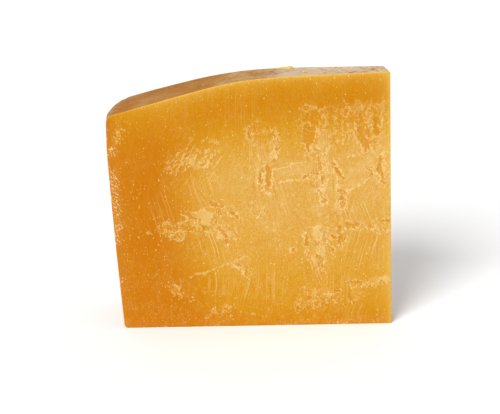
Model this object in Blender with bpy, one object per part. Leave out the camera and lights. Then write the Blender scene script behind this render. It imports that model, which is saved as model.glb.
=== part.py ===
"""A hand-cut sector of an old, hard mountain cheese, standing on the wheel's bottom rind.

The front and back are cuts through the wheel's axis, the right-hand side is the cut that took the
sector's tip away, and rind covers the top, the bottom and the heel on the left.
Metres, +Z up, the front cut faces -Y, and the origin is at the middle of the bounding box's base.
"""

import math
import random

import bmesh
import bpy
from mathutils import Vector, noise

# The wheel that the piece comes from
WHEEL_RADIUS = 0.252
WHEEL_THICKNESS = 0.150
TOP_SLOPE_INSIDE = 0.035
TOP_SLOPE_RIM = 0.28
KNEE_RADIUS = 0.179
KNEE_WIDTH = 0.010
HEEL_LEAN = 0.044
HEEL_BULGE = 0.0006
SHOULDER_RADIUS = 0.0034
FOOT_RADIUS = 0.0020

# The cuts that free the piece
SECTOR_ANGLE = math.radians(9.2)
TIP_RADIUS = 0.094
TIP_LEAN = 0.0213
TIP_SKEW = 0.127
CUT_WAVE = 0.0004
CUT_WAVE_LENGTH = 0.055

# The rind
RIND_WAVE = 0.0007
RIND_WAVE_LENGTH = 0.019
RIND_FADE = 0.006

# Torn patches of a cut, where the paste broke away instead of being sliced
TEAR_DEPTH = 0.0017
TEAR_LENGTH = 0.0105
TEAR_WIDTH = 0.0068
TEAR_RAGGED = 0.9
TEAR_FINE_SHARE = 0.5
TEAR_START = 0.06
TEAR_END = 0.28
FLOOR_UNEVEN = 0.5
EDGE_FADE = 0.0035
BACK_PATCH_COUNT = 9
PATCH_SEED = 7

# The grid that carries the relief
COLUMNS = 36
ROWS = 34
LAYERS = 5
TIP_MARGIN = 0.0025


def patch(across, height, half_width, half_height, tilt=0.0):
    """A torn patch, in mm and degrees: its middle from the tip cut and the base, its half sizes, its tilt."""
    return (across / 1000, height / 1000, half_width / 1000, half_height / 1000, math.radians(tilt))


FRONT_PATCHES = [
    patch(115, 103, 14, 7, -28),
    patch(77, 117, 4, 10),
    patch(67, 98, 6, 19),
    patch(43, 119, 9, 17),
    patch(42, 132, 12, 3),
    patch(23, 128, 6, 7),
    patch(12, 118, 11, 15),
    patch(36, 83, 10, 17, 12),
    patch(24, 70, 6, 9),
    patch(5, 93, 5, 10),
    patch(103, 64, 16, 8, -14),
    patch(92, 54, 6, 7),
    patch(127, 58, 12, 5, -6),
    patch(38, 49, 9, 12),
    patch(15, 59, 17, 4, 4),
    patch(43, 17, 13, 6, 10),
    patch(14, 23, 15, 4, 12),
    patch(121, 24, 8, 4),
    patch(97, 11, 10, 4, -12),
    patch(82, 37, 4, 3),
]


def smooth_step(low, high, value):
    share = min(1.0, max(0.0, (value - low) / (high - low)))
    return share * share * (3 - 2 * share)


def top_height(radius):
    """Height of the wheel's top face, which is nearly level inside the knee and slopes to the rim outside it."""
    bend = KNEE_WIDTH * math.log1p(math.exp((radius - KNEE_RADIUS) / KNEE_WIDTH))
    level = WHEEL_THICKNESS - TOP_SLOPE_INSIDE * (radius - TIP_RADIUS)
    return level - (TOP_SLOPE_RIM - TOP_SLOPE_INSIDE) * bend


def heel_radius(height):
    """The heel leans in towards the base and bulges a little at its middle."""
    share = height / WHEEL_THICKNESS
    lean = HEEL_LEAN * max(0.0, top_height(WHEEL_RADIUS) - height)
    return WHEEL_RADIUS - lean + HEEL_BULGE * math.sin(math.pi * min(1.0, share))


def tip_radius(angle, height):
    """Distance from the wheel's axis to the tip cut, a plane that leans and is a little skew to the front."""
    foot = TIP_LEAN * (WHEEL_THICKNESS - height)
    return (TIP_RADIUS - foot) / (math.cos(angle) - TIP_SKEW * math.sin(angle))


def straight_block():
    """The sector unrolled to a box: X from heel to tip, Y the share of the angle, Z the height."""
    bm = bmesh.new()
    bmesh.ops.create_cube(bm, size=1.0)
    length = WHEEL_RADIUS - TIP_RADIUS
    bmesh.ops.translate(bm, verts=bm.verts, vec=(0.5, 0.5, 0.5))
    bmesh.ops.scale(bm, verts=bm.verts, vec=(length, 1.0, WHEEL_THICKNESS))
    for height, radius in ((WHEEL_THICKNESS, SHOULDER_RADIUS), (0.0, FOOT_RADIUS)):
        corner = [
            edge
            for edge in bm.edges
            if all(v.co.x < 1e-6 and abs(v.co.z - height) < 1e-6 for v in edge.verts)
        ]
        bmesh.ops.bevel(
            bm,
            geom=corner,
            offset=radius,
            offset_type="OFFSET",
            segments=3,
            profile=0.5,
            affect="EDGES",
            clamp_overlap=True,
        )
    cut_axis(bm, Vector((1, 0, 0)), spread(COLUMNS, SHOULDER_RADIUS, length - TIP_MARGIN))
    cut_axis(bm, Vector((0, 0, 1)), spread(ROWS, FOOT_RADIUS, WHEEL_THICKNESS - SHOULDER_RADIUS))
    cut_axis(bm, Vector((0, 1, 0)), spread(LAYERS, 0.06, 0.94))
    return bm


def spread(count, low, high):
    return [low + (high - low) * i / (count - 1) for i in range(count)]


def cut_axis(bm, normal, places):
    for place in places:
        whole = bm.verts[:] + bm.edges[:] + bm.faces[:]
        bmesh.ops.bisect_plane(bm, geom=whole, dist=1e-7, plane_co=normal * place, plane_no=normal)


def refine(bm, side, patches):
    """Splits the faces of one cut where a patch is, so that its ragged outline has enough points."""
    length = WHEEL_RADIUS - TIP_RADIUS
    edges = set()
    for face in bm.faces:
        if abs(face.normal.y - side) > 0.01:
            continue
        middle = face.calc_center_median()
        if patch_strength(length - middle.x, middle.z, patches) > -0.12:
            edges.update(face.edges)
    bmesh.ops.subdivide_edges(bm, edges=list(edges), cuts=1, use_grid_fill=True)


def patch_strength(across, height, patches):
    """1 in the middle of a patch, 0 on its rim and negative outside."""
    best = -1.0
    for middle, level, half_width, half_height, turn in patches:
        x, z = across - middle, height - level
        along = x * math.cos(turn) + z * math.sin(turn)
        rise = z * math.cos(turn) - x * math.sin(turn)
        reach = math.hypot(along / half_width, rise / half_height)
        best = max(best, 1.0 - reach)
    return best


def tear(across, height, patches, seed):
    """How deep the paste is torn at a point of a cut, in metres."""
    at = Vector((across / TEAR_WIDTH, height / TEAR_LENGTH, seed))
    ragged = noise.noise(at) + TEAR_FINE_SHARE * noise.noise(at * 2.1)
    field = patch_strength(across, height, patches) + TEAR_RAGGED * ragged
    hollow = smooth_step(TEAR_START, TEAR_END, field)
    floor = 1.0 - FLOOR_UNEVEN * (0.5 + noise.noise(at * 1.4 + Vector((9, 4, 2))))
    return TEAR_DEPTH * hollow * floor


def sector_point(flat):
    """Bends a point of the straight block to its place on the wheel, measured from the wheel's axis."""
    angle = SECTOR_ANGLE * flat.y
    heel = heel_radius(flat.z)
    share = flat.x / (WHEEL_RADIUS - TIP_RADIUS)
    radius = heel + (tip_radius(angle, flat.z) - heel) * share
    height = flat.z * top_height(radius) / WHEEL_THICKNESS
    return Vector((-radius * math.cos(angle), radius * math.sin(angle), height))


def edge_distance(point):
    """Distance in the cut plane to the nearest edge of the cut."""
    radius = math.hypot(point.x, point.y)
    angle = math.atan2(point.y, -point.x)
    return min(
        heel_radius(point.z) - radius,
        radius - tip_radius(angle, point.z),
        top_height(radius) - point.z,
        point.z,
    )


def cut_relief(point, patches, seed):
    """Depth of a cut's surface below its plane: the knife's slow waves and the torn patches."""
    fade = smooth_step(0.0, EDGE_FADE, edge_distance(point))
    across = math.hypot(point.x, point.y) - TIP_RADIUS
    at = Vector((point.x, point.z, seed)) / CUT_WAVE_LENGTH
    wave = CUT_WAVE * (0.5 + 0.5 * noise.noise(at))
    return fade * (wave + tear(across, point.z, patches, seed))


def rind_relief(point):
    at = point / RIND_WAVE_LENGTH
    return RIND_WAVE * (0.5 + 0.5 * noise.noise(at) + 0.3 * noise.noise(at * 2.3))


def random_patches(count, seed):
    """Torn patches for the cut that can't be seen, of the sizes that show on the front."""
    draw = random.Random(seed)
    length = WHEEL_RADIUS - TIP_RADIUS
    made = []
    for _ in range(count):
        across = draw.uniform(0.08, 0.88) * length * 1000
        height = draw.uniform(0.12, 0.78) * WHEEL_THICKNESS * 1000
        made.append(
            patch(across, height, draw.uniform(5, 14), draw.uniform(5, 15), draw.uniform(-25, 25))
        )
    return made


def shape_cheese(bm, back_patches):
    """Bends the block into the sector, then sinks the torn patches and the hollows of the rind."""
    front = Vector((0, 1, 0))
    back = Vector((-math.sin(SECTOR_ANGLE), -math.cos(SECTOR_ANGLE), 0))
    tip = Vector((-1, 0, 0))
    length = WHEEL_RADIUS - TIP_RADIUS
    for vert in bm.verts:
        flat = vert.co.copy()
        point = sector_point(flat)
        on_cut = flat.y < 1e-6 or flat.y > 1 - 1e-6
        on_tip = flat.x > length - 1e-6
        on_base = flat.z < 1e-6
        move = Vector((0, 0, 0))
        if flat.y < 1e-6:
            move = front * cut_relief(point, FRONT_PATCHES, 0.0)
        elif flat.y > 1 - 1e-6:
            move = back * cut_relief(point, back_patches, 5.0)
        elif on_tip:
            fade = smooth_step(0, 0.2, min(flat.y, 1 - flat.y))
            move = tip * fade * CUT_WAVE * (1 + noise.noise(point / TEAR_LENGTH))
        if not on_cut and not on_tip and not on_base:
            inside = min(flat.y, 1 - flat.y) * SECTOR_ANGLE * WHEEL_RADIUS
            fade = smooth_step(0, RIND_FADE, min(inside, length - flat.x, flat.z))
            inward = Vector((1, 0, 0)) if flat.x < SHOULDER_RADIUS / 3 else Vector((0, 0, -1))
            move = inward * fade * rind_relief(point)
        vert.co = point + move


def centred(bm):
    """Puts the middle of the base at the origin."""
    xs = [vert.co.x for vert in bm.verts]
    ys = [vert.co.y for vert in bm.verts]
    middle = Vector(((min(xs) + max(xs)) / 2, (min(ys) + max(ys)) / 2, 0))
    bmesh.ops.translate(bm, verts=bm.verts, vec=-middle)


def cheese_material():
    paste = bpy.data.materials.new("cheese_paste")
    paste.use_nodes = True
    shader = paste.node_tree.nodes["Principled BSDF"]
    shader.inputs["Base Color"].default_value = (0.80, 0.42, 0.09, 1)
    shader.inputs["Roughness"].default_value = 0.45
    shader.inputs["Metallic"].default_value = 0.0
    return paste


def rind_material():
    rind = bpy.data.materials.new("cheese_rind")
    rind.use_nodes = True
    shader = rind.node_tree.nodes["Principled BSDF"]
    shader.inputs["Base Color"].default_value = (0.50, 0.27, 0.10, 1)
    shader.inputs["Roughness"].default_value = 0.5
    shader.inputs["Metallic"].default_value = 0.0
    return rind


def is_rind(face):
    """The base, the top and the heel carry rind, and the three cuts don't."""
    return abs(face.normal.z) > 0.7 or face.normal.x < -0.7


def main():
    for obj in list(bpy.data.objects):
        bpy.data.objects.remove(obj)

    back_patches = random_patches(BACK_PATCH_COUNT, PATCH_SEED)
    bm = straight_block()
    refine(bm, -1, FRONT_PATCHES)
    refine(bm, 1, back_patches)
    shape_cheese(bm, back_patches)
    bmesh.ops.triangulate(bm, faces=bm.faces[:])
    bm.normal_update()
    for face in bm.faces:
        face.material_index = 1 if is_rind(face) else 0
        face.smooth = True
    centred(bm)

    mesh = bpy.data.meshes.new("cheese")
    bm.to_mesh(mesh)
    bm.free()
    mesh.set_sharp_from_angle(angle=math.radians(50))
    mesh.materials.append(cheese_material())
    mesh.materials.append(rind_material())
    cheese = bpy.data.objects.new("cheese", mesh)
    bpy.context.scene.collection.objects.link(cheese)


main()
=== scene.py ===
import math

import bmesh
import bpy
import numpy as np
from mathutils import Matrix, Vector


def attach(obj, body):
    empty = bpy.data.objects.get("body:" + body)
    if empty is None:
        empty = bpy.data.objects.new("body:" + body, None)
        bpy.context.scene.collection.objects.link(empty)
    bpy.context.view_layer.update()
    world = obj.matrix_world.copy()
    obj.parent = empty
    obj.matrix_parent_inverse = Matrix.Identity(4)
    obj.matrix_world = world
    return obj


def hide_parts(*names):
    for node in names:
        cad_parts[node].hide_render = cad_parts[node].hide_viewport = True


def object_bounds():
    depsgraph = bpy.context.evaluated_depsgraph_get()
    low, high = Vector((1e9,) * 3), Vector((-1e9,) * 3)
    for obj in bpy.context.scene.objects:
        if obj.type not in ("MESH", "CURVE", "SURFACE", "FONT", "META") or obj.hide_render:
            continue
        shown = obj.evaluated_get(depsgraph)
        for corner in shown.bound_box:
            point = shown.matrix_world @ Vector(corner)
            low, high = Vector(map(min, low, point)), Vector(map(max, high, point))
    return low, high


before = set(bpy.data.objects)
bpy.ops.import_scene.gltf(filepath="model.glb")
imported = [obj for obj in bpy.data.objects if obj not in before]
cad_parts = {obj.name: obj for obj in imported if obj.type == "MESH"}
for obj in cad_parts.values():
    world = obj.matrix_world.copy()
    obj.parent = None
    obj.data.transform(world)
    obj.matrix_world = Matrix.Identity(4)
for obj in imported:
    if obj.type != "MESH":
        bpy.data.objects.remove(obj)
cad_low, cad_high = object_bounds()
bpy.ops.object.select_all(action="DESELECT")

# The photographer's view: a long lens, a little under 80 cm away, that looks down on the piece's
# front cut from above its middle, turned and rolled by less than one degree. Its place is measured
# from the point on the table that lies straight below the top's front corner at the tip.
FRAME_PIXELS = 500
FOCAL_PIXELS = 1400
SENSOR = 36.0
CAMERA_FROM_FOOT = Vector((-0.0864, -0.7563, 0.3176))
LOOK_DOWN = math.radians(17.93)
LOOK_RIGHT = math.radians(0.6)
ROLL = math.radians(-0.8)

TIP_RADIUS = 0.094
TIP_LEAN = 0.0213
WHEEL_THICKNESS = 0.150
axis_x = cad_high.x + TIP_RADIUS - TIP_LEAN * WHEEL_THICKNESS
front_y = cad_low.y
tip_foot = Vector((axis_x - TIP_RADIUS, front_y, 0))

forward = Vector(
    (
        math.sin(LOOK_RIGHT) * math.cos(LOOK_DOWN),
        math.cos(LOOK_RIGHT) * math.cos(LOOK_DOWN),
        -math.sin(LOOK_DOWN),
    )
)
level = Vector((math.cos(LOOK_RIGHT), -math.sin(LOOK_RIGHT), 0))
upright = level.cross(forward)
right = math.cos(ROLL) * level + math.sin(ROLL) * upright
above = -math.sin(ROLL) * level + math.cos(ROLL) * upright
bpy.ops.object.camera_add(location=tip_foot + CAMERA_FROM_FOOT)
camera = bpy.context.object
camera.rotation_euler = Matrix((right, above, -forward)).transposed().to_euler()
camera.data.sensor_width = SENSOR
camera.data.lens = FOCAL_PIXELS / FRAME_PIXELS * SENSOR
camera.data.clip_start = 0.01
bpy.context.scene.camera = camera


# The block of paste: a sector of a wheel with a front and a back cut through the wheel's axis, a cut
# that took the tip away, and rind on its top, base and heel. It starts as a block that is divided
# finely, its free edges are broken a little, and it is then bent to the sector. Sizes are in metres.
WHEEL_RADIUS = 0.252
SECTOR_ANGLE = math.radians(9.2)
TOP_SLOPE_INSIDE = 0.035
TOP_SLOPE_RIM = 0.28
KNEE_RADIUS = 0.179
KNEE_WIDTH = 0.010
HEEL_LEAN = 0.044
HEEL_BULGE = 0.0006
TIP_SKEW = 0.127
SHOULDER_RADIUS = 0.0044
SHOULDER_WEAR = 0.0045
FOOT_RADIUS = 0.0020
CUT_EDGE = 0.0004
# Axis and cuts of each round of divisions: the length and the height are divided twice.
DIVISIONS = ((0, 13), (0, 19), (2, 12), (2, 19), (1, 23))
SAME_PLACE = 1e-5
FACE_LENGTH = WHEEL_RADIUS - TIP_RADIUS
HEEL_DEPTH = WHEEL_RADIUS * math.sin(SECTOR_ANGLE)


def select_edges(obj, wanted):
    """Selects the edges in edit mode for which wanted(one end, other end) is true."""
    bm = bmesh.from_edit_mesh(obj.data)
    for edge in bm.edges:
        edge.select_set(bool(wanted(edge.verts[0].co, edge.verts[1].co)))
    bm.select_flush_mode()
    bmesh.update_edit_mesh(obj.data)


def divide(obj, axis, cuts):
    """Divides every edge that runs along an axis."""
    bpy.ops.mesh.select_all(action="DESELECT")
    select_edges(obj, lambda a, b: abs(a[axis] - b[axis]) > SAME_PLACE)
    bpy.ops.mesh.subdivide(number_cuts=cuts)


bpy.ops.mesh.primitive_cube_add(size=1)
cheese = bpy.context.object
cheese.name = "cheese_piece"
cheese.scale = (FACE_LENGTH, HEEL_DEPTH, WHEEL_THICKNESS)
cheese.location = (FACE_LENGTH / 2, HEEL_DEPTH / 2, WHEEL_THICKNESS / 2)
bpy.ops.object.transform_apply(location=True, rotation=False, scale=True)
bpy.ops.object.mode_set(mode="EDIT")
bpy.ops.mesh.select_mode(type="EDGE")
for axis, cuts in DIVISIONS:
    divide(cheese, axis, cuts)


def on_cut_edge(a, b):
    """True on the front's, the back's and the tip cut's edges, and false on the heel's own corners."""
    sides = 0
    for axis, size in ((0, FACE_LENGTH), (1, HEEL_DEPTH), (2, WHEEL_THICKNESS)):
        for place in (0, size):
            sides += max(abs(a[axis] - place), abs(b[axis] - place)) < SAME_PLACE
    own_corner = max(a.x, b.x) < SAME_PLACE < abs(a.y - b.y)
    return sides == 2 and not own_corner


bpy.ops.mesh.select_all(action="DESELECT")
select_edges(cheese, on_cut_edge)
bpy.ops.mesh.bevel(offset=CUT_EDGE, segments=2, affect="EDGES")
bpy.ops.object.mode_set(mode="OBJECT")
mesh = cheese.data


def smooth_step(low, high, value):
    share = np.clip((value - low) / (high - low), 0, 1)
    return share * share * (3 - 2 * share)


def top_height(radius):
    """Height of the wheel's top: nearly level inside the knee, and sloping to the rim outside it."""
    bend = KNEE_WIDTH * np.log1p(np.exp((radius - KNEE_RADIUS) / KNEE_WIDTH))
    level = WHEEL_THICKNESS - TOP_SLOPE_INSIDE * (radius - TIP_RADIUS)
    return level - (TOP_SLOPE_RIM - TOP_SLOPE_INSIDE) * bend


def heel_radius(height):
    """The heel leans in towards the base and bulges a little at its middle."""
    lean = HEEL_LEAN * np.maximum(0, top_height(WHEEL_RADIUS) - height)
    return WHEEL_RADIUS - lean + HEEL_BULGE * np.sin(np.pi * height / WHEEL_THICKNESS)


def round_corner(x, z, corner_z, radius):
    """Moves the points near one of the heel's corners onto an arc."""
    across = (radius - x) / radius
    up = (radius - np.abs(corner_z - z)) / radius
    inside = (across > 0) & (up > 0)
    reach = np.hypot(across, up)
    pull = np.where(inside, np.maximum(across, up) / np.where(inside, reach, 1), 1)
    side = 1 if corner_z > 0 else -1
    new_x = np.where(inside, radius - across * pull * radius, x)
    new_z = np.where(inside, corner_z - side * (radius - up * pull * radius), z)
    return new_x, new_z


block = np.empty(len(mesh.vertices) * 3, np.float32)
mesh.vertices.foreach_get("co", block)
block = block.reshape(-1, 3).astype(float)
block_x, block_y, block_z = block.T
shoulder = SHOULDER_RADIUS + SHOULDER_WEAR * (block_y / HEEL_DEPTH) ** 2
rounded_x, rounded_z = round_corner(block_x, block_z, WHEEL_THICKNESS, shoulder)
rounded_x, rounded_z = round_corner(rounded_x, rounded_z, 0.0, FOOT_RADIUS)
angle = SECTOR_ANGLE * block_y / HEEL_DEPTH
heel = heel_radius(rounded_z)
tip_turn = np.cos(angle) - TIP_SKEW * np.sin(angle)
tip_line = (TIP_RADIUS - TIP_LEAN * (WHEEL_THICKNESS - rounded_z)) / tip_turn
radius = heel + (tip_line - heel) * rounded_x / FACE_LENGTH
place = np.stack(
    [
        axis_x - radius * np.cos(angle),
        front_y + radius * np.sin(angle),
        rounded_z * top_height(radius) / WHEEL_THICKNESS,
    ],
    axis=-1,
)
across_mm = (radius - TIP_RADIUS) * 1000
up_mm = place[:, 2] * 1000


# The cuts' relief: where the knife met hard, brittle paste, it tore. Shallow hollows have ragged
# shores, small flakes stand up pale at their rims, and elsewhere the blade left fine drag lines.
# The relief is drawn on the plane of the cut in mm: across from the tip edge, and up from the base.
GRID = 0.3
ACROSS_LOW, ACROSS_HIGH = -6.0, 164.0
UP_LOW, UP_HIGH = -2.0, 153.0
OCTAVE_STEP = 2.03
OCTAVE_SHARE = 0.55
across, up = np.meshgrid(
    np.arange(ACROSS_LOW, ACROSS_HIGH, GRID), np.arange(UP_LOW, UP_HIGH, GRID), indexing="ij"
)


def lattice(u, v, seed):
    """Smooth random numbers from -1 to 1 that change once for each unit of u and v."""
    table = np.random.default_rng(seed).uniform(-1, 1, (256, 256))
    i = np.floor(u).astype(int)
    j = np.floor(v).astype(int)
    a = smooth_step(0, 1, u - i)
    b = smooth_step(0, 1, v - j)
    low = table[i % 256, j % 256] * (1 - a) + table[(i + 1) % 256, j % 256] * a
    high = table[i % 256, (j + 1) % 256] * (1 - a) + table[(i + 1) % 256, (j + 1) % 256] * a
    return low * (1 - b) + high * b


def rough(u, v, size, seed, octaves=3):
    """Fractal noise whose largest features have that size, with an octave's seed after the last one's."""
    total = 0.0
    for octave in range(octaves):
        scale = OCTAVE_STEP**octave / size
        total = total + OCTAVE_SHARE**octave * lattice(u * scale, v * scale, seed + octave)
    return total


def ragged(seed):
    """The cut's coordinates, moved by up to 3 mm, so that what is drawn there gets ragged shores."""
    coarse, fine = 3.6, 1.2
    across_shift = 0.8 * rough(across, up, coarse, seed, 2) + 0.7 * rough(across, up, fine, seed + 3, 2)
    up_shift = 1.1 * rough(across, up, coarse, seed + 6, 2) + 0.9 * rough(across, up, fine, seed + 9, 2)
    return across + across_shift, up + up_shift


def inside_strokes(strokes, at_across, at_up):
    """How far each point is inside the strokes, in mm, and the nearest stroke's last value there."""
    best = np.full(across.shape, -np.inf)
    value = np.zeros(across.shape)
    for start_a, start_u, end_a, end_u, start_w, end_w, size in strokes:
        run_a, run_u = end_a - start_a, end_u - start_u
        span = max(run_a**2 + run_u**2, 1e-6)
        share = np.clip(((at_across - start_a) * run_a + (at_up - start_u) * run_u) / span, 0, 1)
        gap = np.hypot(at_across - start_a - share * run_a, at_up - start_u - share * run_u)
        depth = start_w + (end_w - start_w) * share - gap
        value = np.where(depth > best, size, value)
        best = np.maximum(best, depth)
    return best, value


# One stroke: across and up where it starts, the same where it ends, and its half widths there, all in
# mm. The last value is how high a flake stands in mm, or a hollow's depth in units of HOLLOW_DEPTH.
HOLLOW_DEPTH = 0.22
FRONT_HOLLOWS = [
    (42, 125, 44.5, 118, 3.9, 3.0, 1.1), (44.5, 118, 45.3, 110, 3.0, 2.3, 1.2),
    (45.3, 110, 45.6, 104.5, 2.5, 0.9, 1.2), (39.3, 105, 37.6, 95.7, 1.0, 1.2, 0.9),
    (17, 125, 14, 117, 2.7, 2.7, 1.0), (13, 117, 12, 107, 3.2, 1.8, 0.9),
    (7.5, 127, 7, 116, 1.8, 2.0, 1.0), (18, 116, 15, 111, 2.0, 1.5, 0.8),
    (10, 131, 8, 128, 1.2, 1.0, 0.7), (23.5, 129, 24.2, 124, 1.2, 0.8, 0.7),
    (20.5, 127, 21, 121, 1.2, 0.8, 0.7), (48, 89.5, 40, 93.4, 0.7, 1.1, 0.9),
    (40, 93.4, 38, 97, 0.9, 0.7, 0.8), (31.4, 97.4, 26, 90, 0.8, 1.1, 0.9),
    (28, 84, 24.8, 79.8, 0.8, 1.2, 1.1), (37, 91, 36.5, 86, 0.9, 0.8, 0.8),
    (42, 88, 44, 85, 0.9, 0.7, 0.7), (33, 88, 31, 84, 0.8, 0.8, 0.8),
    (38.5, 81, 36.5, 75.5, 0.9, 1.0, 0.8), (26, 78, 25.5, 72.5, 1.3, 1.1, 1.0),
    (62.6, 112, 62.8, 105.5, 0.9, 0.8, 0.9), (65, 117, 64, 111, 0.8, 0.9, 0.8),
    (64.8, 104, 65.2, 99.5, 0.9, 0.9, 0.8), (67.9, 96, 67.8, 82, 1.9, 1.3, 1.0),
    (72.5, 93, 72, 84, 0.8, 0.6, 0.6), (79.4, 119, 76.5, 109.5, 0.8, 0.7, 0.8),
    (74.3, 122, 75, 116, 0.7, 0.6, 0.6), (4.9, 101, 4.8, 92, 1.3, 1.5, 0.9),
    (3.2, 91, 2.5, 86, 1.0, 1.0, 0.7), (9.9, 92.3, 10, 90.3, 1.2, 1.2, 1.6),
    (101, 75.2, 94, 73.2, 0.8, 1.5, 0.7), (97, 71, 95, 68, 1.3, 1.0, 0.8),
    (116, 69.5, 110.5, 67.5, 2.0, 2.2, 1.1), (112, 66, 110, 63, 1.2, 1.0, 0.9),
    (105, 60.5, 102.5, 59.8, 1.6, 1.4, 1.1), (88.5, 70.5, 86, 67.5, 1.0, 1.3, 0.8),
    (96, 60, 92, 56, 1.5, 1.0, 0.8), (92.5, 53.5, 91.2, 50.8, 1.3, 1.1, 0.9),
    (119, 62, 113, 60, 1.8, 1.5, 0.7), (126, 62, 121, 60, 1.6, 1.2, 0.7),
    (128.5, 59, 124.5, 57.5, 1.0, 1.2, 0.6), (121, 56, 117, 56, 1.0, 0.8, 0.6),
    (152.5, 118, 152, 114, 0.7, 0.9, 0.6),
    (36, 55.5, 35.8, 50.5, 0.8, 0.9, 1.0), (31.8, 55.5, 30, 53.8, 0.8, 0.8, 1.0),
    (27.6, 59.8, 27.4, 49.2, 1.3, 1.0, 1.3), (24.6, 53.5, 25.2, 51.7, 0.8, 0.8, 0.9),
    (47, 55.5, 46.6, 49.5, 1.0, 1.1, 0.8), (45.6, 45, 45.2, 43, 0.9, 0.8, 0.8),
    (41, 42.5, 37.5, 41, 0.9, 1.2, 0.9), (36.6, 37.5, 36.2, 35.8, 0.8, 0.7, 0.9),
    (32, 46, 31, 44, 0.9, 0.7, 0.7), (23.5, 61.5, 17, 60.8, 1.3, 1.2, 1.0),
    (14.5, 60.3, 8.5, 59, 0.9, 0.7, 0.8), (4.5, 63, -1, 63, 1.0, 1.5, 0.9),
    (2.5, 58.3, 1.3, 56.8, 0.8, 0.7, 0.8), (55.1, 46, 55.1, 45.7, 0.9, 0.9, 1.5),
    (80.7, 36, 80.7, 35.7, 0.8, 0.8, 1.3), (112.8, 18, 112.9, 17.7, 0.8, 0.8, 1.2),
    (70.1, 71.8, 71, 68.7, 0.4, 0.5, 0.9), (71, 68.7, 74.7, 65.7, 0.5, 0.4, 0.8),
    (22, 25.5, 15, 25.3, 1.4, 1.6, 1.0), (8.3, 24.5, 6.8, 22.5, 0.7, 0.8, 0.8),
    (48, 21, 47.3, 18, 1.0, 0.9, 0.8), (45.8, 17.3, 44.6, 15.5, 1.2, 0.9, 0.9),
    (42.8, 14.6, 41.5, 13.2, 1.0, 1.2, 0.9), (36.5, 13.5, 36.2, 11, 1.2, 1.1, 1.0),
    (30.5, 14.5, 30.2, 12.5, 0.8, 0.7, 0.8), (20.8, 19.5, 20.6, 14, 1.1, 0.8, 0.8),
    (33, 20.5, 28, 21.5, 0.8, 1.0, 0.8), (52, 12, 50.5, 8.5, 1.0, 1.2, 0.8),
    (123.5, 24.5, 120.5, 22.5, 1.6, 1.4, 0.7), (118.4, 22.5, 117.2, 20.5, 0.8, 0.8, 0.7),
    (100, 9.3, 97, 8.2, 1.5, 1.0, 0.6), (93, 11, 91.3, 9.5, 1.2, 0.9, 0.7),
    (86.5, 40, 84.5, 36.5, 1.0, 1.1, 0.7), (82, 33.5, 81, 31, 1.0, 0.8, 0.7),
    (121, 99.5, 117.5, 106.5, 0.6, 0.3, 0.7), (113.8, 97, 111, 104, 0.7, 0.4, 0.7),
    (105.5, 97.5, 101.5, 106, 0.8, 0.4, 0.7),
]
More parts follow.
